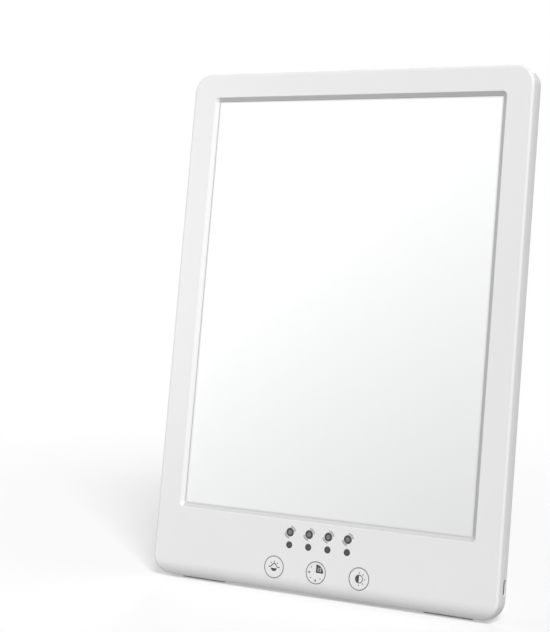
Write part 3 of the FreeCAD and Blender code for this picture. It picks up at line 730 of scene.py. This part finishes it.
def arc_row_tree():
    """Bands along a circle or a part of one, repeated in a row."""
    tree = Tree("Arc row", {
        "Count": ("Int", 3),
        "Pitch": ("Float", 0.02),
        "Level": ("Float", 0.01),
        "Radius": ("Float", 0.006),
        "Width": ("Float", 0.0004),
        "Film": ("Float", 0.00002),
        "Start": ("Float", 0.0),
        "Sweep": ("Float", math.tau),
    })
    curve = tree.node(
        "GeometryNodeCurveArc", {"mode": "RADIUS"}, Resolution=49, Radius=tree.value("Radius"),
        Start_Angle=tree.value("Start"), Sweep_Angle=tree.value("Sweep"))
    band = tree.swept(curve.outputs["Curve"], tree.value("Width"), tree.value("Film"))
    row = tree.row(tree.value("Count"), tree.value("Pitch"))
    bands = tree.on_points(row, band)
    return tree.finish(tree.moved(bands, tree.vector(0.0, tree.value("Level"))))


def stroke_tree():
    """A band of even width that follows the line it is given."""
    tree = Tree("Stroke", {"Width": ("Float", 0.0004), "Film": ("Float", 0.00002)})
    curve = tree.node("GeometryNodeMeshToCurve", Mesh=tree.value("Geometry")).outputs[0]
    return tree.finish(tree.swept(curve, tree.value("Width"), tree.value("Film")))


def ray_fan_tree():
    """Short strokes that point away from a centre, at even angles."""
    tree = Tree("Ray fan", {
        "Count": ("Int", 3),
        "Across": ("Float", 0.0),
        "Level": ("Float", 0.01),
        "Radius": ("Float", 0.003),
        "Length": ("Float", 0.001),
        "Width": ("Float", 0.0003),
        "Film": ("Float", 0.00002),
        "Start": ("Float", 0.0),
        "Sweep": ("Float", math.pi),
    })
    curve = tree.node(
        "GeometryNodeCurveArc", {"mode": "RADIUS"}, Resolution=tree.value("Count"),
        Radius=tree.value("Radius"), Start_Angle=tree.value("Start"),
        Sweep_Angle=tree.value("Sweep"))
    points = tree.node("GeometryNodeCurveToPoints", {"mode": "EVALUATED"},
                       Curve=curve.outputs["Curve"]).outputs["Points"]
    size = tree.vector(tree.value("Length"), tree.value("Width"), tree.value("Film"))
    stroke = tree.node("GeometryNodeMeshCube", Size=size).outputs["Mesh"]
    outward = tree.node(
        "FunctionNodeAlignRotationToVector", {"axis": "X", "pivot_axis": "Z"},
        Vector=tree.node("GeometryNodeInputPosition").outputs[0])
    rays = tree.node("GeometryNodeInstanceOnPoints", Points=points, Instance=stroke,
                     Rotation=outward.outputs[0]).outputs[0]
    place = tree.vector(tree.value("Across"), tree.value("Level"))
    return tree.finish(tree.moved(rays, place))


def screw_group_tree():
    """Pan heads with a cross recess on plain shanks, in an upper and a lower pair."""
    tree = Tree("Screw group", {
        "Head Radius": ("Float", 0.0024),
        "Head Height": ("Float", 0.0015),
        "Shank Radius": ("Float", 0.00105),
        "Shank Length": ("Float", 0.0056),
        "Low Span": ("Float", 0.207),
        "Low Level": ("Float", 0.0115),
        "High Span": ("Float", 0.214),
        "High Level": ("Float", 0.3077),
        "Depth": ("Float", 0.0082),
    })
    radius, height = tree.value("Head Radius"), tree.value("Head Height")
    crown = tree.node(
        "GeometryNodeMeshCone", {"fill_type": "NGON"}, Vertices=32, Radius_Bottom=radius,
        Radius_Top=tree.maths("MULTIPLY", radius, CROWN_RIM), Depth=height).outputs["Mesh"]
    reach = tree.maths("MULTIPLY", radius, CROSS_REACH)
    slot = tree.maths("MULTIPLY", radius, CROSS_WIDTH)
    head = tree.node("GeometryNodeMeshBoolean", {"operation": "DIFFERENCE", "solver": "EXACT"})
    tree.feed(head.inputs["Mesh 1"], crown)
    for size in (tree.vector(reach, slot, height), tree.vector(slot, reach, height)):
        bar = tree.node("GeometryNodeMeshCube", Size=size).outputs["Mesh"]
        tree.feed(head.inputs["Mesh 2"], tree.moved(bar, tree.vector(0.0, 0.0, height)))
    length = tree.value("Shank Length")
    shank = tree.node(
        "GeometryNodeMeshCylinder", {"fill_type": "NGON"}, Vertices=24,
        Radius=tree.value("Shank Radius"), Depth=length).outputs["Mesh"]
    drop = tree.maths("MULTIPLY", length, -0.5)
    screw = tree.node("GeometryNodeJoinGeometry")
    tree.feed(screw.inputs[0], head.outputs["Mesh"])
    tree.feed(screw.inputs[0], tree.moved(shank, tree.vector(0.0, 0.0, drop)))
    facing_back = tree.node("GeometryNodeTransform", Geometry=screw.outputs[0],
                            Rotation=(math.pi, 0.0, 0.0)).outputs[0]
    back = tree.maths("MULTIPLY", tree.value("Depth"), -1.0)
    pairs = tree.node("GeometryNodeJoinGeometry")
    for span, level in (("Low Span", "Low Level"), ("High Span", "High Level")):
        row = tree.moved(tree.row(2, tree.value(span)), tree.vector(0.0, tree.value(level), back))
        tree.feed(pairs.inputs[0], tree.on_points(row, facing_back))
    return tree.finish(pairs.outputs[0])


def contact_row_tree():
    """Thin contact strips along both faces of a tongue."""
    tree = Tree("Contact rows", {
        "Count": ("Int", 12),
        "Pitch": ("Float", 0.0005),
        "Length": ("Float", 0.004),
        "Width": ("Float", 0.00025),
        "Thick": ("Float", 0.0001),
        "Gap": ("Float", 0.0007),
    })
    size = tree.vector(tree.value("Width"), tree.value("Thick"), tree.value("Length"))
    strip = tree.node("GeometryNodeMeshCube", Size=size).outputs["Mesh"]
    row = tree.on_points(tree.row(tree.value("Count"), tree.value("Pitch")), strip)
    both = tree.node("GeometryNodeJoinGeometry")
    for side in (-0.5, 0.5):
        shift = tree.vector(0.0, tree.maths("MULTIPLY", tree.value("Gap"), side))
        tree.feed(both.inputs[0], tree.moved(row, shift))
    return tree.finish(both.outputs[0])


def strokes_round(look, across, count, reach, length, width, start, sweep):
    """Short strokes round a touch ring's centre, sized in shares of the ring's radius."""
    radius = look.ring_radius
    return grow("strokes", ray_fan_tree(), Count=count, Across=across, Level=look.ring_level,
                Radius=radius * reach, Length=radius * length, Width=radius * width,
                Film=look.film, Start=math.radians(start), Sweep=math.radians(sweep),
                Material=ink_of(look))


def ink_of(settings):
    """The dark ink, made once."""
    return bpy.data.materials.get("dark_ink") or printed_ink("dark_ink", tuple(settings.ink))


def grey_of(settings):
    """The grey ink of rings and arcs, made once."""
    return bpy.data.materials.get("grey_ink") or printed_ink("grey_ink", tuple(settings.grey))


class LAMP_OT_housing(bpy.types.Operator):
    """Finish the white mouldings"""

    bl_idname = "lamp.housing"
    bl_label = "Housing"

    def execute(self, context):
        look = context.scene.lamp_housing
        # The front frame's white carries painted shade on its window bevel
        dress(satin_moulding("satin_white", tuple(look.front_white)), "front_frame")
        dress(grained_moulding("grained_white", tuple(look.rear_white), look.grain_size),
              "back_cover", "stand_leg")
        return {"FINISHED"}


class LAMP_OT_light_stack(bpy.types.Operator):
    """Finish the screen and the sheets and strips behind it"""

    bl_idname = "lamp.light_stack"
    bl_label = "Light stack"

    def execute(self, context):
        look = context.scene.lamp_screen
        opal = opal_sheet("opal_screen", tuple(look.opal), look.glow, look.painted_light_rise, look.edge_shade)
        dress(opal, "diffuser")
        dress(clear_acrylic("clear_guide"), "light_guide")
        dress(speckled_part("white_film", (0.85, 0.85, 0.85), 0.4), "reflector_sheet")
        dress(bare_metal("rolled_aluminium", (0.75, 0.76, 0.77), 0.4), "backing_plate")
        dress(circuit_board("white_board", (0.75, 0.75, 0.72)), "strip_left", "strip_right")
        return {"FINISHED"}


class LAMP_OT_electronics(bpy.types.Operator):
    """Finish the board and what it carries"""

    bl_idname = "lamp.electronics"
    bl_label = "Electronics"

    def execute(self, context):
        dress(circuit_board("green_board", (0.05, 0.22, 0.10)), "control_board")
        dress(speckled_part("moulded_black", (0.03, 0.03, 0.032)),
              "controller_chip", "driver_coil", "driver_capacitor")
        dress(speckled_part("connector_cream", (0.72, 0.68, 0.58)),
              "connector_left", "connector_right", "lead_left", "lead_right")
        dress(soft_rubber("conductive_foam", (0.16, 0.16, 0.17)),
              "touch_pad_left", "touch_pad_middle", "touch_pad_right")
        return {"FINISHED"}


class LAMP_OT_hardware(bpy.types.Operator):
    """Finish the steel and rubber parts and the timer lights"""

    bl_idname = "lamp.hardware"
    bl_label = "Hardware"

    def execute(self, context):
        dress(bare_metal("plain_steel", (0.58, 0.58, 0.59), 0.3),
              "port_shell", "hinge_pin_left", "hinge_pin_right",
              "hinge_washer_left", "hinge_washer_right", "housing_screws")
        dress(speckled_part("insulator_black", (0.035, 0.035, 0.037)), "port_tongue")
        dress(soft_rubber("pale_rubber", (0.55, 0.55, 0.55)), "foot_left", "foot_right")
        dress(soft_rubber("grey_rubber", (0.15, 0.15, 0.155)), "stand_tip")
        for name in ("timer_lens_1", "timer_lens_2", "timer_lens_3", "timer_lens_4"):
            low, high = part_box(name)
            centre = on_panel((low[0] + high[0]) / 2, LENS_LEVEL)
            dress(smoked_lens("smoked_" + name, (0.040, 0.041, 0.043), centre), name)
        return {"FINISHED"}


class LAMP_OT_touch_rings(bpy.types.Operator):
    """Print the thin rings round the three touch areas"""

    bl_idname = "lamp.touch_rings"
    bl_label = "Touch rings"

    def execute(self, context):
        look = context.scene.lamp_print
        grey = grey_of(look)
        mesh = grow("touch_rings", arc_row_tree(), Count=3, Pitch=look.ring_pitch,
                    Level=look.ring_level, Radius=look.ring_radius, Width=look.ring_width,
                    Film=look.film, Material=grey)
        add_piece("touch_rings", stand_print(mesh), grey)
        return {"FINISHED"}


class LAMP_OT_timer_marks(bpy.types.Operator):
    """Print the four numbered timer marks with their running arcs"""

    bl_idname = "lamp.timer_marks"
    bl_label = "Timer marks"

    def execute(self, context):
        look = context.scene.lamp_print
        ink, grey = ink_of(look), grey_of(look)
        radius = look.timer_radius
        hole = radius * 0.47
        row = arc_row_tree()
        place = {"Count": 4, "Pitch": look.timer_pitch, "Level": look.timer_level, "Film": look.film}
        rings = grow("timer_rings", row, Radius=(radius + hole) / 2, Width=radius - hole,
                     Material=ink, **place)
        add_piece("timer_rings", stand_print(rings), ink)

        arcs = []
        for share in (1.21, 1.44):
            for start in (10.0, 190.0):
                arcs.append(grow("timer_arc", row, Radius=radius * share, Width=TIMER_ARC_WIDTH,
                                 Start=math.radians(start), Sweep=math.radians(75.0),
                                 Material=grey, **place))
        add_piece("timer_arcs", stand_print(joined("timer_arcs", arcs)), grey)

        middles, numbers = [], []
        for step, text in enumerate(("15", "30", "45", "60")):
            across = look.timer_pitch * (step - 1.5)
            middles.append([turned(hole * 1.02, angle, (across, look.timer_level))
                            for angle in range(0, 360, 15)])
            numbers.append(number(text, hole * 0.85, across, look.timer_level, look.film * 1.2))
        add_piece("timer_middles", stand_print(plates("timer_middles", middles, look.film)), grey)
        add_piece("timer_numbers", stand_print(joined("timer_numbers", numbers)), ink)
        return {"FINISHED"}


class LAMP_OT_wake_symbol(bpy.types.Operator):
    """Print the rising sun in the left ring"""

    bl_idname = "lamp.wake_symbol"
    bl_label = "Rising sun"

    def execute(self, context):
        look = context.scene.lamp_print
        ink = ink_of(look)
        radius = look.ring_radius
        centre = (-look.ring_pitch, look.ring_level)
        line_half, hill_half, hill_rise = radius * 0.6, radius * 0.42, radius * 0.34
        line = []
        for step in range(HORIZON_STEPS + 1):
            across = line_half * (2 * step / HORIZON_STEPS - 1)
            lift = 0.0
            if abs(across) < hill_half:
                lift = hill_rise * (1 + math.cos(math.pi * across / hill_half)) / 2
            line.append((centre[0] + across, centre[1] + lift))
        sun = arc(radius * 0.34, 190.0, 350.0, (centre[0], centre[1] - radius * 0.05), 16)
        drawn = plates("half_disc", [sun], look.film)
        horizon = grow("horizon", stroke_tree(), line, Width=radius * 0.09, Film=look.film,
                       Material=ink)
        rays = strokes_round(look, centre[0], count=3, reach=0.50, length=0.15, width=0.07,
                             start=48.0, sweep=84.0)
        add_piece("wake_symbol", stand_print(joined("wake_symbol", [drawn, horizon, rays])), ink)
        return {"FINISHED"}


class LAMP_OT_timer_symbol(bpy.types.Operator):
    """Print the clock with its dark quarter in the middle ring"""

    bl_idname = "lamp.timer_symbol"
    bl_label = "Clock"

    def execute(self, context):
        look = context.scene.lamp_print
        ink = ink_of(look)
        radius = look.ring_radius
        centre = (0.0, look.ring_level)
        quarter = [centre] + arc(radius * 0.77, 0.0, 90.0, centre)
        small = strokes_round(look, centre[0], count=3, reach=0.7, length=0.10, width=0.10,
                              start=135.0, sweep=180.0)
        large = strokes_round(look, centre[0], count=2, reach=0.7, length=0.20, width=0.13,
                              start=180.0, sweep=90.0)
        marks = [plates("quarter", [quarter], look.film), small, large]
        add_piece("timer_symbol", stand_print(joined("timer_symbol", marks)), ink)

        white = printed_ink("white_ink", (0.75, 0.75, 0.75))
        figure = number("15", radius * 0.34, radius * 0.34, centre[1] + radius * 0.30, look.film * 1.3)
        add_piece("timer_figure", stand_print(figure), white)
        return {"FINISHED"}


class LAMP_OT_dimmer_symbol(bpy.types.Operator):
    """Print the half-dark sun in the right ring"""

    bl_idname = "lamp.dimmer_symbol"
    bl_label = "Dimmer sun"

    def execute(self, context):
        look = context.scene.lamp_print
        ink = ink_of(look)
        radius = look.ring_radius
        centre = (look.ring_pitch, look.ring_level)
        half = arc(radius * 0.39, 90.0, 270.0, centre)
        drawn = plates("half_sun", [half], look.film)
        rim = grow("sun_rim", stroke_tree(), arc(radius * 0.36, -90.0, 90.0, centre),
                   Width=radius * 0.075, Film=look.film, Material=ink)
        rays = strokes_round(look, centre[0], count=5, reach=0.56, length=0.15, width=0.07,
                             start=-90.0, sweep=180.0)
        add_piece("dimmer_symbol", stand_print(joined("dimmer_symbol", [drawn, rim, rays])), ink)
        return {"FINISHED"}


class LAMP_OT_screws(bpy.types.Operator):
    """Replace the plain screws with cross-recessed pan heads"""

    bl_idname = "lamp.screws"
    bl_label = "Screws"

    def execute(self, context):
        look = context.scene.lamp_fasteners
        steel = bare_metal("screw_steel", (0.56, 0.56, 0.57), 0.32)
        mesh = grow("cover_screws", screw_group_tree(), Head_Radius=look.head_radius,
                    Head_Height=look.head_height, Shank_Radius=look.shank_radius, Material=steel)
        mesh.transform(panel_matrix())
        screws = add_piece("cover_screws", mesh, steel)
        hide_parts("housing_screws")
        return {"FINISHED"}


class LAMP_OT_inlet_contacts(bpy.types.Operator):
    """Lay the contact strips on the inlet's tongue"""

    bl_idname = "lamp.inlet_contacts"
    bl_label = "Inlet contacts"

    def execute(self, context):
        look = context.scene.lamp_fasteners
        gold = bare_metal("gilt_contacts", (0.78, 0.60, 0.30), 0.28)
        mesh = grow("inlet_contacts", contact_row_tree(), Count=look.contact_count, Material=gold)
        low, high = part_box("port_tongue")
        middle = (Vector(low) + Vector(high)) / 2
        turn = Matrix([[0, 0, 1], [UP.y, INWARD.y, 0], [UP.z, INWARD.z, 0]])
        mesh.transform(Matrix.Translation(middle) @ turn.to_4x4())
        add_piece("inlet_contacts", mesh, gold)
        return {"FINISHED"}


# Stage

# Where the lamps stand, seen from the middle of the panel
KEY_SIDE = Vector((0.49, -0.54, 0.69)).normalized()
FILL_SIDE = Vector((-0.75, -0.60, 0.28)).normalized()
BACK_SIDE = Vector((-0.35, 0.93, 0.10)).normalized()
PANEL_MIDDLE = Vector((0.0, -0.01, 0.16))

# The floor's radius, its own grey and its colour to the eye
FLOOR_RADIUS = 6.0
FLOOR_GREY = (0.42, 0.42, 0.42)
FLOOR_SEEN = (0.94, 0.94, 0.94)

# How the floor runs out into white: the share near the object, and where it starts and is full
WHITE_SHARE = 0.38
WHITE_START = 0.15
WHITE_FULL = 0.60


def add_lamp(name, side, brightness, size, distance):
    """A square soft lamp aimed at the panel, set by how bright it makes a white card."""
    lamp = bpy.data.lights.new(name, "AREA")
    lamp.energy = brightness * (math.pi * distance) ** 2
    lamp.size = size
    holder = bpy.data.objects.new(name, lamp)
    holder.location = PANEL_MIDDLE + side * distance
    holder.rotation_euler = (-side).to_track_quat("-Z", "Y").to_euler()
    bpy.context.scene.collection.objects.link(holder)


def seen_directly(tree):
    """A factor that is 1 for rays that look at the background, by eye, mirror or glass."""
    path = tree.nodes.new("ShaderNodeLightPath")
    factor = path.outputs["Is Camera Ray"]
    for name in ("Is Glossy Ray", "Is Transmission Ray"):
        factor = calculate(tree, "MAXIMUM", factor, path.outputs[name])
    return factor


def make_floor():
    """A pale round floor that takes the shadow and runs out into white."""
    shape = bmesh.new()
    bmesh.ops.create_circle(shape, cap_ends=True, segments=96, radius=FLOOR_RADIUS)
    mesh = bpy.data.meshes.new("floor")
    shape.to_mesh(mesh)
    shape.free()
    floor = bpy.data.objects.new("floor", mesh)
    bpy.context.scene.collection.objects.link(floor)
    material, tree, shader = new_material("pale_floor")
    shader.inputs["Roughness"].default_value = 0.9
    seen = seen_directly(tree)
    tint = ramp(tree, seen, [(0.0, FLOOR_GREY), (1.0, FLOOR_SEEN)])
    tree.links.new(tint, shader.inputs["Base Color"])
    away = measured(tree, "DISTANCE")
    fade = remap(tree, away, WHITE_SHARE, 1.0, WHITE_START, WHITE_FULL)
    white = tree.nodes.new("ShaderNodeEmission").outputs["Emission"]
    share = calculate(tree, "MULTIPLY", fade, seen)
    surface = mixed_shader(tree, share, shader.outputs["BSDF"], white)
    tree.links.new(surface, tree.nodes["Material Output"].inputs["Surface"])
    mesh.materials.append(material)


def make_world(strength):
    """Even light from all round, seen as plain white."""
    world = bpy.data.worlds.new("studio")
    bpy.context.scene.world = world
    world.use_nodes = True
    tree = world.node_tree
    tree.nodes.clear()
    sky = []
    for level in (strength, 1.0):
        background = tree.nodes.new("ShaderNodeBackground")
        background.inputs["Color"].default_value = (1.0, 1.0, 1.0, 1.0)
        background.inputs["Strength"].default_value = level
        sky.append(background.outputs["Background"])
    output = tree.nodes.new("ShaderNodeOutputWorld")
    tree.links.new(mixed_shader(tree, seen_directly(tree), *sky), output.inputs["Surface"])


# Camera: seen from the right and a little above, with a long lens
CAMERA_PLACE = Vector((0.44602, -0.84828, 0.26018))
CAMERA_AIM = Vector((-0.02477, -0.02081, 0.20344))
CAMERA_ROLL = math.radians(-0.18)
CENTRE_SHIFT = (-0.0237, -0.1013)


def make_camera(lens):
    """The camera, with a lens of a focal length in millimetres."""
    camera = bpy.data.cameras.new("camera")
    camera.lens = lens
    camera.sensor_width = 36.0
    camera.shift_x, camera.shift_y = CENTRE_SHIFT
    holder = bpy.data.objects.new("camera", camera)
    aim = (CAMERA_AIM - CAMERA_PLACE).to_track_quat("-Z", "Y").to_matrix()
    turn = aim @ Matrix.Rotation(CAMERA_ROLL, 3, "Z")
    holder.matrix_world = Matrix.Translation(CAMERA_PLACE) @ turn.to_4x4()
    bpy.context.scene.collection.objects.link(holder)
    bpy.context.scene.camera = holder


class LAMP_OT_stage(bpy.types.Operator):
    """Set up the floor, the lamps and the camera"""

    bl_idname = "lamp.stage"
    bl_label = "Stage"

    def execute(self, context):
        look = context.scene.lamp_stage
        context.scene.view_settings.view_transform = "Standard"
        make_floor()
        make_world(look.room_light)
        add_lamp("key", KEY_SIDE, look.key_light, size=2.2, distance=6.0)
        add_lamp("fill", FILL_SIDE, look.fill_light, size=0.35, distance=0.6)
        add_lamp("back", BACK_SIDE, look.back_light, size=1.2, distance=3.0)
        make_camera(look.lens)
        return {"FINISHED"}


class LAMP_PT_panel(bpy.types.Panel):
    """Buttons that dress the lamp"""

    bl_label = "Light therapy lamp"
    bl_idname = "LAMP_PT_panel"
    bl_space_type = "VIEW_3D"
    bl_region_type = "UI"
    bl_category = "Lamp"

    def draw(self, context):
        for operator in OPERATORS:
            self.layout.operator(operator.bl_idname)


SETTINGS = {
    "lamp_housing": HousingSettings,
    "lamp_screen": ScreenSettings,
    "lamp_print": PrintSettings,
    "lamp_fasteners": FastenerSettings,
    "lamp_stage": StageSettings,
}
OPERATORS = (
    LAMP_OT_stage,
    LAMP_OT_housing,
    LAMP_OT_light_stack,
    LAMP_OT_electronics,
    LAMP_OT_hardware,
    LAMP_OT_touch_rings,
    LAMP_OT_timer_marks,
    LAMP_OT_wake_symbol,
    LAMP_OT_timer_symbol,
    LAMP_OT_dimmer_symbol,
    LAMP_OT_screws,
    LAMP_OT_inlet_contacts,
)


def register():
    for group in SETTINGS.values():
        bpy.utils.register_class(group)
    for operator in OPERATORS:
        bpy.utils.register_class(operator)
    bpy.utils.register_class(LAMP_PT_panel)
    for name, group in SETTINGS.items():
        setattr(bpy.types.Scene, name, PointerProperty(type=group))


def unregister():
    for name in SETTINGS:
        delattr(bpy.types.Scene, name)
    bpy.utils.unregister_class(LAMP_PT_panel)
    for operator in reversed(OPERATORS):
        bpy.utils.unregister_class(operator)
    for group in SETTINGS.values():
        bpy.utils.unregister_class(group)


def main():
    register()
    for operator in OPERATORS:
        family, name = operator.bl_idname.split(".")
        getattr(getattr(bpy.ops, family), name)()


if __name__ == "__main__":
    main()
